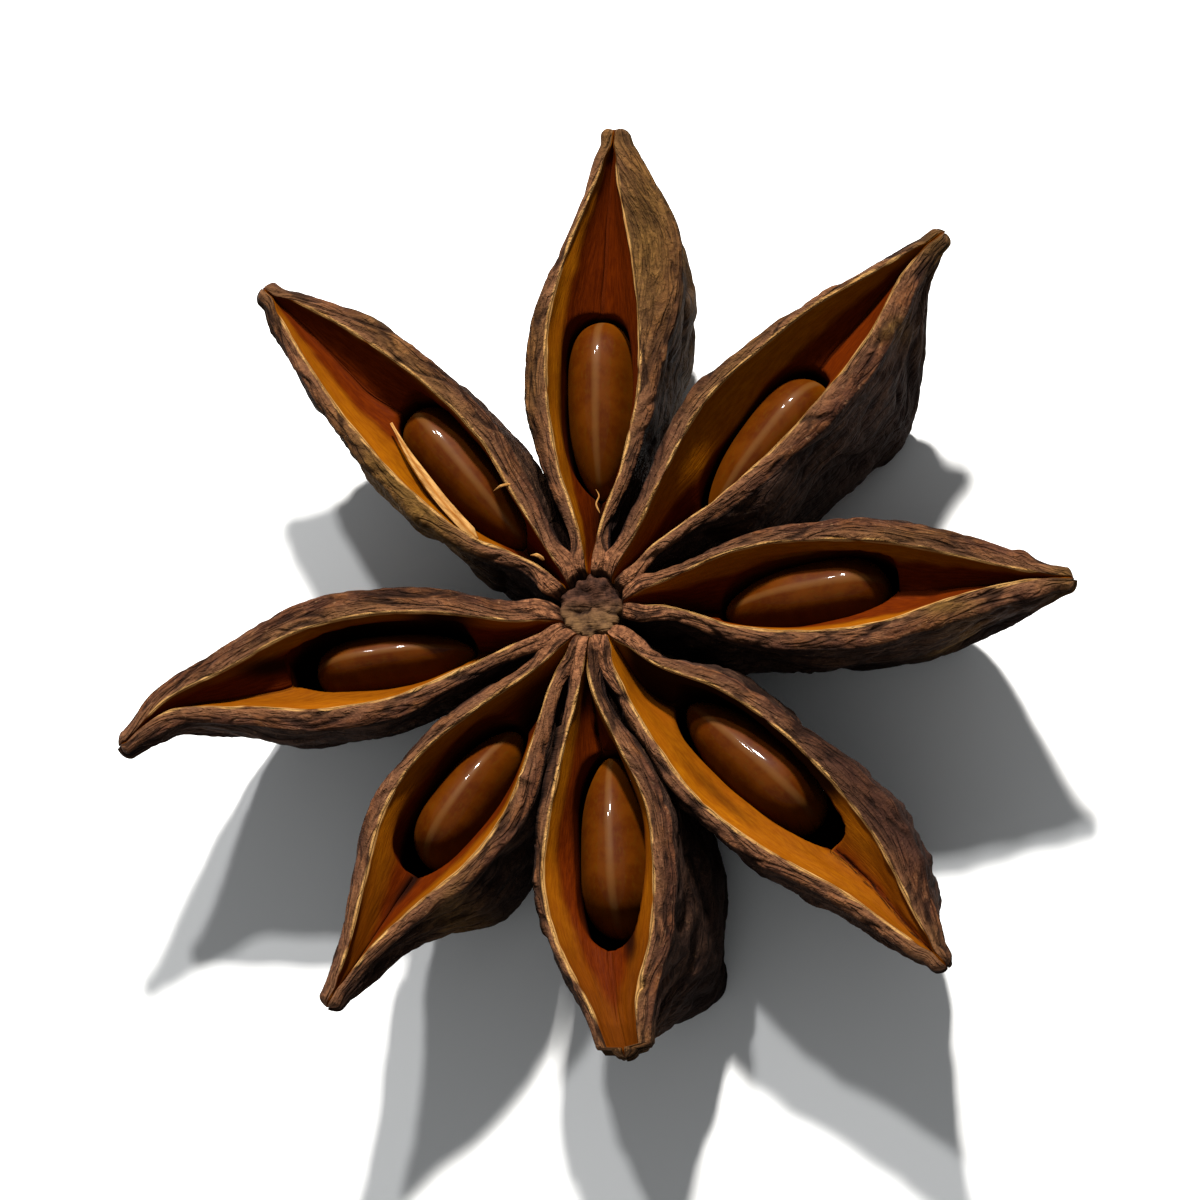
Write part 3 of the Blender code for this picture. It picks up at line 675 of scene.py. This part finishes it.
def add_strand(name, number, points, wide, thick, material):
    """A fibre or a torn sliver of the lining: a flat strip along a curve, thin at both ends."""
    carpel = CARPELS[number - 1]
    t = np.linspace(0.0, 1.0, STRAND_LONG)
    places = np.linspace(0.0, 1.0, len(points))
    along, across, depth = (curve_through(places, values, t) for values in zip(*points))
    step = np.hypot(np.gradient(along), np.gradient(across))
    angle = np.linspace(0.0, 2 * math.pi, STRAND_ROUND, endpoint=False)[None, :]
    taper = (0.25 + 0.75 * ease(np.minimum(t / 0.5, (1.0 - t) / 0.15)))[:, None]
    beside = wide * taper * np.cos(angle)
    above = thick * (0.4 + 0.6 * taper) * np.sin(angle)
    x = along[:, None] - beside * (np.gradient(across) / step)[:, None]
    y = across[:, None] + beside * (np.gradient(along) / step)[:, None]
    z = rim_height(along / carpel["reach"])[:, None] - depth[:, None] + above
    border = 0.45 + 0.55 * np.abs(np.cos(angle)) + 0 * x
    # The strands are painted as fully lit.
    attributes = (("edge", border), ("inner", 1.0 + 0 * x), ("along", x), ("around", y * 3), ("painted_lit_side", 1.0 + 0 * x))
    faces = tube_faces(STRAND_LONG, STRAND_ROUND)
    obj = mesh_object(name, in_place(carpel, x, y, z).reshape(-1, 3), faces, attributes)
    obj.data.materials.append(material)
    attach(obj, "root")
    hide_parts("pod")
    return obj


def add_column(material):
    """The central column: a rough, dimpled disc on top and the stalk's scar below."""
    profile_r, profile_z = np.array(COLUMN_PROFILE).T
    length = np.concatenate(((0,), np.cumsum(np.hypot(np.diff(profile_r), np.diff(profile_z)))))
    at = np.linspace(0, length[-1], COLUMN_RINGS)
    r = np.interp(at, length, profile_r)[:, None]
    z = np.interp(at, length, profile_z)[:, None]
    turn = np.linspace(0, 2 * math.pi, COLUMN_ROUND, endpoint=False)[None, :]
    x = r * np.cos(turn)
    y = r * np.sin(turn)
    z = z + 0 * turn
    spot = np.stack((x * 1.9, y * 1.9, z * 0.5), axis=-1)
    rough = noise(spot * 0.8, 71) * 0.13 + noise(spot * 1.7, 72) * 0.08
    rough = rough + (creased(spot * 0.7, 73, 0.15) - 0.8) * 0.07 + noise(spot * 3.5, 74) * 0.025
    top = ease((z - COLUMN_TOP + 0.6) / 0.5)
    z = z + rough * top * 1.3
    swell = 1.0 + rough * (1 - top * 0.5)
    shifted = y * swell * (1.0 + 0.08 * top) + LIPS_LEAN * top
    points = np.stack((x * swell + COLUMN_AT[0], shifted + COLUMN_AT[1], z), axis=-1)
    faces = tube_faces(COLUMN_RINGS, COLUMN_ROUND)
    zero = z * 0
    attributes = (
        ("rim", zero + top), ("edge", zero), ("inner", zero), ("deep", np.clip((8.0 - z) / 5.0, 0, 1)),
        ("height", np.clip(0.62 + rough * 2.5, 0, 1) * top), ("along", x), ("around", y),
        ("reach", zero), ("dark_red_and_shade", zero), ("valley", zero), ("yellow_and_shade", ease(0.35 - 0.9 * y)),
        ("lip", zero), ("hub", zero), ("disc", zero + top),
    )
    faces = [face[::-1] for face in faces]
    obj = mesh_object("column", points.reshape(-1, 3), faces, attributes)
    obj.data.materials.append(material)
    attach(obj, "root")
    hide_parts("pod")
    return obj


def add_seed(number, carpel, material):
    """A glossy seed with a ridge along its top edge."""
    _, _, turn, length = carpel["seed"]
    low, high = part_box(f"seed_{number}")
    middle = np.array((low + high) / 2) / MM
    lat = np.linspace(0.0, math.pi, SEED_LONG)[:, None]
    lon = np.linspace(0, 2 * math.pi, SEED_ROUND, endpoint=False)[None, :]
    x = -np.cos(lat) + 0 * lon
    fullness = (1.0 - np.abs(x) ** np.where(x > 0, *SEED_FULL)) ** 0.5
    y = fullness * np.sign(np.cos(lon)) * np.abs(np.cos(lon)) ** SEED_BOXY
    z = fullness * np.sign(np.sin(lon)) * np.abs(np.sin(lon)) ** SEED_BOXY
    taper = 1.0 + SEED_TAPER * x - SEED_BLUNT * x * x
    ridge = np.exp(-((y / 0.16) ** 2)) * ease(z / 0.5)
    spot = np.stack((x * 1.4, y * 1.6, z * 1.6 + number * 4.3), axis=-1)
    dent = 1.0 + 0.02 * noise(spot, 90 + number) + SEED_WAVE * noise(spot * (2.6, 1.5, 1.5), 80 + number)
    px = x * length / 2
    py = y * SEED_THICK / 2 * taper * dent * SEED_SLIM.get(number, 1.0)
    pz = (z * SEED_DEEP / 2 * taper) * dent + ridge * SEED_RIDGE
    heading = math.radians(carpel["turn"] + turn)
    placed = np.stack((
        middle[0] + px * math.cos(heading) - py * math.sin(heading),
        middle[1] + px * math.sin(heading) + py * math.cos(heading),
        middle[2] + pz), axis=-1)
    attributes = (("ridge", ridge), ("along", px), ("across", py), ("up", z))
    faces = [face[::-1] for face in tube_faces(SEED_LONG, SEED_ROUND)]
    obj = mesh_object(f"seed_{number}_coat", placed.reshape(-1, 3), faces, attributes)
    obj.data.materials.append(material)
    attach(obj, "root")
    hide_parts(f"seed_{number}")
    return obj


class Nodes:
    """Short calls that add shader nodes and link them."""

    def __init__(self, name):
        self.material = bpy.data.materials.new(name)
        self.material.use_nodes = True
        self.tree = self.material.node_tree
        self.shader = self.tree.nodes["Principled BSDF"]

    def link(self, value, socket):
        if isinstance(value, bpy.types.NodeSocket):
            self.tree.links.new(value, socket)
        else:
            socket.default_value = value

    def attribute(self, name):
        node = self.tree.nodes.new("ShaderNodeAttribute")
        node.attribute_name = name
        return node.outputs["Fac"]

    def vector(self, x, y, z):
        node = self.tree.nodes.new("ShaderNodeCombineXYZ")
        for value, socket in zip((x, y, z), node.inputs):
            self.link(value, socket)
        return node.outputs[0]

    def math(self, kind, a, b=0.0, c=0.0, clamp=False):
        node = self.tree.nodes.new("ShaderNodeMath")
        node.operation = kind
        node.use_clamp = clamp
        for value, socket in zip((a, b, c), node.inputs):
            self.link(value, socket)
        return node.outputs[0]

    def noise(self, vector, scale, detail=3.0, roughness=0.5, distortion=0.0):
        node = self.tree.nodes.new("ShaderNodeTexNoise")
        self.link(vector, node.inputs["Vector"])
        node.inputs["Scale"].default_value = scale
        node.inputs["Detail"].default_value = detail
        node.inputs["Roughness"].default_value = roughness
        node.inputs["Distortion"].default_value = distortion
        return node.outputs["Fac"]

    def creases(self, vector, scale, wide):
        """1 along thin winding lines and 0 between them."""
        distance = self.math("ABSOLUTE", self.math("SUBTRACT", self.noise(vector, scale, 2.0, 0.5, 0.6), 0.5))
        return self.span(distance, 0.0, wide, 1.0, 0.0)

    def span(self, value, low, high, out_low=0.0, out_high=1.0):
        """Maps low..high to out_low..out_high with a smooth, clamped step."""
        node = self.tree.nodes.new("ShaderNodeMapRange")
        node.interpolation_type = "SMOOTHSTEP"
        for number, setting in enumerate((value, low, high, out_low, out_high)):
            self.link(setting, node.inputs[number])
        return node.outputs[0]

    def mix(self, share, a, b, kind="MIX"):
        node = self.tree.nodes.new("ShaderNodeMix")
        node.data_type = "RGBA"
        node.blend_type = kind
        self.link(share, node.inputs[0])
        self.link(a, node.inputs[6])
        self.link(b, node.inputs[7])
        return node.outputs[2]

    def bump(self, height, distance, strength=1.0, normal=None):
        node = self.tree.nodes.new("ShaderNodeBump")
        node.inputs["Distance"].default_value = distance
        node.inputs["Strength"].default_value = strength
        self.link(height, node.inputs["Height"])
        if normal is not None:
            self.link(normal, node.inputs["Normal"])
        return node.outputs[0]


def colour(r, g, b):
    return (r, g, b, 1.0)


def husk_material():
    n = Nodes("husk")
    rim = n.attribute("rim")
    edge = n.attribute("edge")
    inner = n.attribute("inner")
    deep = n.attribute("deep")
    dark_red_and_shade = n.attribute("dark_red_and_shade")
    height = n.attribute("height")
    valley = n.attribute("valley")
    yellow_and_shade = n.attribute("yellow_and_shade")
    along = n.attribute("along")
    around = n.attribute("around")
    reach = n.attribute("reach")
    painted_lit_side = n.attribute("painted_lit_side")
    shade = n.attribute("shade")
    plain = n.vector(along, around, 0.0)
    lengthwise = n.vector(along, n.math("MULTIPLY", around, 2.3), 0.0)
    patches = n.noise(plain, 0.35, 4.0, 0.6)
    lip = n.attribute("lip")
    hub = n.attribute("hub")
    disc = n.attribute("disc")
    tones = n.noise(n.vector(along, around, 9.0), 0.8, 3.0, 0.6)
    streaks = n.noise(lengthwise, 0.9, 6.0, 0.7, 0.4)
    specks = n.noise(n.vector(along, around, 2.0), 5.0, 3.0, 0.7)
    slow = n.math("MULTIPLY", along, 0.6)
    wide_creases = n.creases(n.vector(slow, n.math("MULTIPLY", around, 4.0), 0.0), 0.42, 0.06)
    thin_creases = n.creases(n.vector(slow, n.math("MULTIPLY", around, 3.5), 5.0), 1.1, 0.05)
    creases = n.math("MAXIMUM", wide_creases, n.math("MULTIPLY", thin_creases, 0.6))

    outside = n.mix(n.span(streaks, 0.35, 0.65), colour(0.010, 0.0042, 0.0028), colour(0.044, 0.020, 0.0110))
    outside = n.mix(n.span(patches, 0.45, 0.7, 0.0, 0.6), outside, colour(0.040, 0.022, 0.016))
    outside = n.mix(n.span(specks, 0.58, 0.72, 0.0, 0.6), outside, colour(0.115, 0.062, 0.030))
    # Painted shade: the outer wall darkens lower down, towards the keel.
    outside = n.mix(n.span(deep, 0.25, 1.0, 0.0, 0.75), outside, colour(0.008, 0.004, 0.003))

    near_hub = n.span(reach, 0.08, 0.32, 0.75, 0.0)
    outside = n.mix(near_hub, outside, colour(0.011, 0.0050, 0.0048))

    band = n.mix(n.span(tones, 0.35, 0.65), colour(0.070, 0.027, 0.0140), colour(0.105, 0.038, 0.013))
    band = n.mix(n.span(streaks, 0.35, 0.62, 0.75, 0.0), band, colour(0.030, 0.010, 0.006))
    band = n.mix(n.span(streaks, 0.55, 0.75, 0.0, 0.7), band, colour(0.18, 0.080, 0.035))
    band = n.mix(n.span(specks, 0.58, 0.72, 0.0, 0.5), band, colour(0.24, 0.13, 0.065))
    band = n.mix(n.math("MULTIPLY", lip, n.span(specks, 0.3, 0.6, 0.2, 0.6)), band, colour(0.165, 0.076, 0.034))
    knobs = n.mix(n.span(specks, 0.35, 0.65), colour(0.066, 0.024, 0.0110), colour(0.220, 0.090, 0.039))
    band = n.mix(n.math("MULTIPLY", hub, 0.9), band, knobs)

    husk = n.mix(n.span(rim, 0.3, 0.7), outside, band)
    # Painted shade on the husk where a patch's strength is negative.
    husk = n.mix(n.span(yellow_and_shade, -0.9, 0.0, 0.75, 0.0), husk, colour(0.022, 0.009, 0.006))
    dusty = n.mix(n.span(streaks, 0.3, 0.7), colour(0.044, 0.021, 0.0048), colour(0.128, 0.065, 0.0150))
    husk = n.mix(n.math("MULTIPLY", yellow_and_shade, n.span(specks, 0.2, 0.6, 0.6, 1.0), clamp=True), husk, dusty)
    # Painted shade in the low ground between the wrinkles, weaker in the yellowed patches.
    painted_sunk_shade = n.math("MULTIPLY", n.span(height, 0.35, 0.72, 0.8, 0.0), n.span(yellow_and_shade, 0.2, 0.9, 1.0, 0.45))
    husk = n.mix(painted_sunk_shade, husk, colour(0.007, 0.003, 0.002))
    calm = n.math("MAXIMUM", n.math("MAXIMUM", lip, hub), yellow_and_shade, clamp=True)
    # Painted shade in the thin creases, weaker on the lips, the hub and the patches.
    husk = n.mix(n.math("MULTIPLY", creases, n.span(calm, 0.0, 1.0, 0.6, 0.25)), husk, colour(0.006, 0.0025, 0.0015))
    mottle = n.noise(plain, 2.2, 4.0, 0.65)
    top = n.mix(n.span(mottle, 0.35, 0.65), colour(0.015, 0.0063, 0.0040), colour(0.060, 0.0250, 0.0140))
    top = n.mix(n.math("MULTIPLY", yellow_and_shade, n.span(mottle, 0.3, 0.6, 0.25, 0.9)), top, colour(0.105, 0.056, 0.0225))
    # Painted shade in the low ground of the disc's dimples.
    top = n.mix(n.span(height, 0.3, 0.6, 0.8, 0.0), top, colour(0.009, 0.004, 0.003))
    husk = n.mix(disc, husk, top)

    fibres = n.noise(lengthwise, 1.6, 5.0, 0.6)
    amber = n.mix(n.span(fibres, 0.3, 0.7), colour(0.150, 0.041, 0.0006), colour(0.215, 0.068, 0.0010))
    brown = n.mix(n.span(fibres, 0.3, 0.7), colour(0.052, 0.0110, 0.0002), colour(0.082, 0.0190, 0.0004))
    # Painted shade: the amber turns brown deeper down and towards the tip, except on lining painted as lit.
    painted_shade_brown = n.math("MAXIMUM", n.span(deep, 0.03, 0.20), n.span(reach, 0.5, 0.85, 0.0, 1.0))
    amber = n.mix(n.math("MULTIPLY", painted_shade_brown, n.math("SUBTRACT", 1.0, painted_lit_side)), amber, brown)
    amber = n.mix(n.span(patches, 0.35, 0.7, 0.0, 0.45), amber, colour(0.125, 0.028, 0.0006))
    red = n.mix(n.span(fibres, 0.3, 0.7), colour(0.044, 0.0052, 0.0001), colour(0.074, 0.0105, 0.0001))
    # Amber to dark red deeper down: partly the lining's own colour, partly painted shade.
    lining = n.mix(dark_red_and_shade, amber, red)
    # Painted shadow spots on the lining.
    lining = n.mix(n.span(shade, 0.1, 0.9, 0.0, 0.95), lining, colour(0.006, 0.0012, 0.0002))
    # Painted shade: the lining goes nearly black deep down.
    lining = n.mix(n.span(deep, 0.38, 0.66), lining, colour(0.005, 0.0010, 0.0002))
    # Dark dots along the valley: a dotted crack, partly painted shade.
    dots = n.noise(n.vector(along, around, 4.0), 2.6, 2.0, 0.5)
    lining = n.mix(n.math("MULTIPLY", n.span(valley, 0.94, 1.0), n.span(dots, 0.45, 0.6)), lining, colour(0.008, 0.002, 0.0004))

    whole = n.mix(n.span(inner, 0.3, 0.7), husk, lining)
    pale = n.mix(n.span(streaks, 0.3, 0.7), colour(0.17, 0.075, 0.018), colour(0.44, 0.25, 0.085))
    whole = n.mix(n.span(edge, 0.35, 0.75, 0.0, 0.9), whole, pale)
    n.link(whole, n.shader.inputs["Base Color"])
    n.link(n.span(inner, 0.3, 0.7, 0.80, 0.60), n.shader.inputs["Roughness"])
    n.link(n.span(inner, 0.3, 0.7, 0.045, 0.02), n.shader.inputs["Specular IOR Level"])
    grain = n.math("MULTIPLY", streaks, n.span(hub, 0.0, 1.0, 0.8, 0.35))
    grain = n.math("ADD", grain, n.math("MULTIPLY", specks, 0.5))
    grain = n.math("SUBTRACT", grain, n.math("MULTIPLY", creases, 0.35))
    smooth = n.math("MULTIPLY", n.span(inner, 0.3, 0.7, 1.0, 0.06), n.span(disc, 0.0, 1.0, 1.0, 0.3))
    n.link(n.bump(n.math("MULTIPLY", grain, smooth), 0.00028, 0.9), n.shader.inputs["Normal"])
    return n.material


def seed_material():
    n = Nodes("seed")
    ridge = n.attribute("ridge")
    along = n.attribute("along")
    across = n.attribute("across")
    mottle = n.noise(n.vector(along, across, 0.0), 0.9, 4.0, 0.6)
    grain = n.noise(n.vector(along, n.math("MULTIPLY", across, 2.5), 3.0), 3.0, 3.0, 0.5)
    body = n.mix(n.span(mottle, 0.35, 0.65), colour(0.044, 0.0080, 0.0001), colour(0.064, 0.0145, 0.0002))
    # Painted light: the seed is lighter towards its sides and underside, against the shade of its bed.
    body = n.mix(n.span(n.attribute("up"), 0.0, 0.75, 0.9, 0.0), body, colour(0.200, 0.054, 0.0006))
    body = n.mix(n.span(grain, 0.5, 0.7, 0.0, 0.5), body, colour(0.056, 0.018, 0.0006))
    body = n.mix(n.span(ridge, 0.4, 1.0, 0.0, 0.5), body, colour(0.100, 0.042, 0.010))
    n.link(body, n.shader.inputs["Base Color"])
    n.shader.inputs["Roughness"].default_value = 0.5
    n.shader.inputs["Specular IOR Level"].default_value = 0.03
    n.shader.inputs["Coat Weight"].default_value = 0.22
    n.shader.inputs["Coat Roughness"].default_value = 0.07
    n.link(n.bump(grain, 0.00003, 0.2), n.shader.inputs["Normal"])
    return n.material


def floor_material():
    n = Nodes("floor")
    n.shader.inputs["Base Color"].default_value = colour(0.86, 0.87, 0.87)
    n.shader.inputs["Roughness"].default_value = 0.9
    return n.material


def add_floor():
    bpy.ops.mesh.primitive_plane_add(size=1.2, location=(0, 0, 0))
    floor = bpy.context.object
    floor.name = "floor"
    floor.data.materials.append(floor_material())


def aim(obj, target):
    obj.rotation_euler = (Vector(target) - obj.location).to_track_quat("-Z", "Y").to_euler()


def add_light(name, direction, distance, size, power, tint=(1.0, 1.0, 1.0)):
    light = bpy.data.lights.new(name, "AREA")
    light.shape = "SQUARE"
    light.size = size
    light.energy = power
    light.color = tint
    obj = bpy.data.objects.new(name, light)
    obj.location = Vector(direction).normalized() * distance
    bpy.context.scene.collection.objects.link(obj)
    aim(obj, (0, 0, 0.006))
    return obj


def add_lights():
    add_light("key", (0.04, 0.66, 0.75), 0.40, 0.030, 4.4, (1.0, 0.97, 0.93))
    add_light("spark", (-0.16, 0.58, 0.80), 0.40, 0.020, 0.7)
    fill = add_light("fill", (-0.2, -0.8, 1.0), 0.5, 0.4, 0.22)
    fill.visible_glossy = False
    world = bpy.data.worlds.new("studio")
    world.use_nodes = True
    world.node_tree.nodes["Background"].inputs["Color"].default_value = colour(0.95, 0.98, 1.0)
    world.node_tree.nodes["Background"].inputs["Strength"].default_value = 0.19
    bpy.context.scene.world = world


# The camera's view: right, up and towards the camera, and the width of the view at the column.
VIEW_RIGHT = Vector((0.9857, 0.0, -0.1683))
VIEW_UP = Vector((0.0571, 0.9406, 0.3347))
VIEW_BACK = Vector((0.1583, -0.3395, 0.9272))
VIEW_WIDE = 49.4
VIEW_AWAY = 260.0


def add_camera():
    camera = bpy.data.cameras.new("camera")
    camera.sensor_width = 36.0
    camera.lens = 36.0 * VIEW_AWAY / VIEW_WIDE
    camera.clip_start = 0.01
    obj = bpy.data.objects.new("camera", camera)
    target = Vector((*COLUMN_AT, 8.0)) + VIEW_RIGHT * 0.38 + VIEW_UP * 0.475
    obj.location = (target + VIEW_BACK * VIEW_AWAY) * MM
    axes = Matrix((VIEW_RIGHT, VIEW_UP, VIEW_BACK)).transposed()
    obj.rotation_euler = axes.to_euler()
    bpy.context.scene.collection.objects.link(obj)
    bpy.context.scene.camera = obj


def main():
    husk = husk_material()
    seed = seed_material()
    add_column(husk)
    for number, (carpel, own) in enumerate(zip(CARPELS, OWN), start=1):
        add_carpel(number, carpel, own, husk)
        add_seed(number, carpel, seed)
    for count, strand in enumerate(STRANDS, start=1):
        add_strand(f"strand_{count}", *strand, husk)
    add_floor()
    add_lights()
    add_camera()
    bpy.context.scene.view_settings.view_transform = "Standard"


main()
